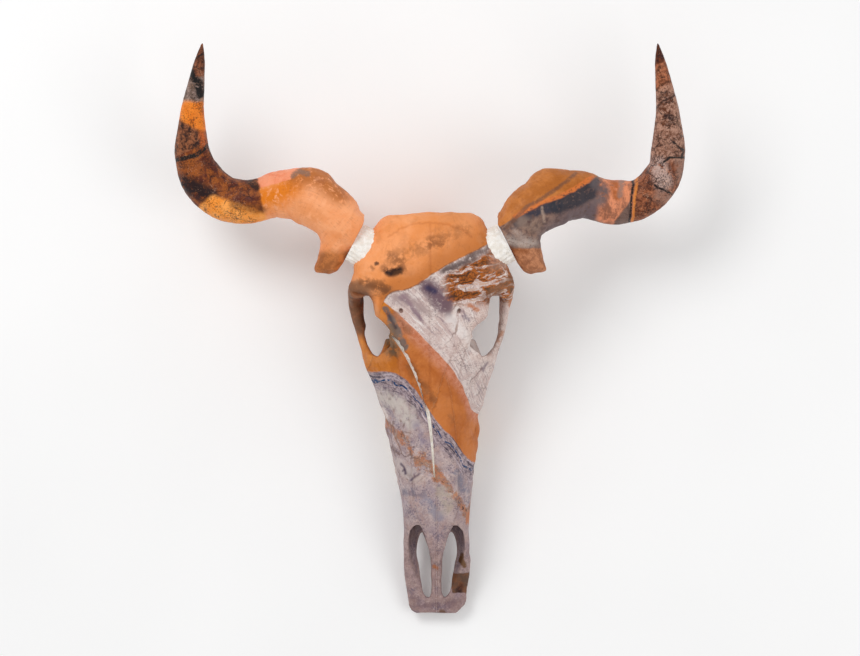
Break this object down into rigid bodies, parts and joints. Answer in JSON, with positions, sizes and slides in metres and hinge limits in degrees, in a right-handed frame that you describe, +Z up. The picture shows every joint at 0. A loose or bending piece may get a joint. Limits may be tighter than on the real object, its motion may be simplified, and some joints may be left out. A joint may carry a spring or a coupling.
{
  "type": "blue wildebeest skull",
  "caption": "Life-size wildebeest skull without its lower jaw, lying face up, with swept horns seated on short bony cores beside the brow and see-through eye sockets and nose.",
  "frame": {"origin": "middle of the floor under the skull, which lies face up on its cheek teeth and ear processes", "axes": "+Y from the nose towards the crown and the horn tips, +Z up out of the face, +X to the right in the picture"},
  "size_m": [0.5908, 0.652, 0.1696],
  "materials": {
    "bone": "dry weathered bone, stained orange and slate grey",
    "horn": "dull ridged horn, orange to dark brown"
  },
  "bodies": {
    "root": {"cranium": "bone", "maxilla_left": "bone", "maxilla_right": "bone", "nasal_left": "bone", "nasal_right": "bone", "premaxilla_left": "bone", "premaxilla_right": "bone", "zygomatic_left": "bone", "zygomatic_right": "bone", "horn_left": "horn", "horn_right": "horn"}
  },
  "joints": []
}
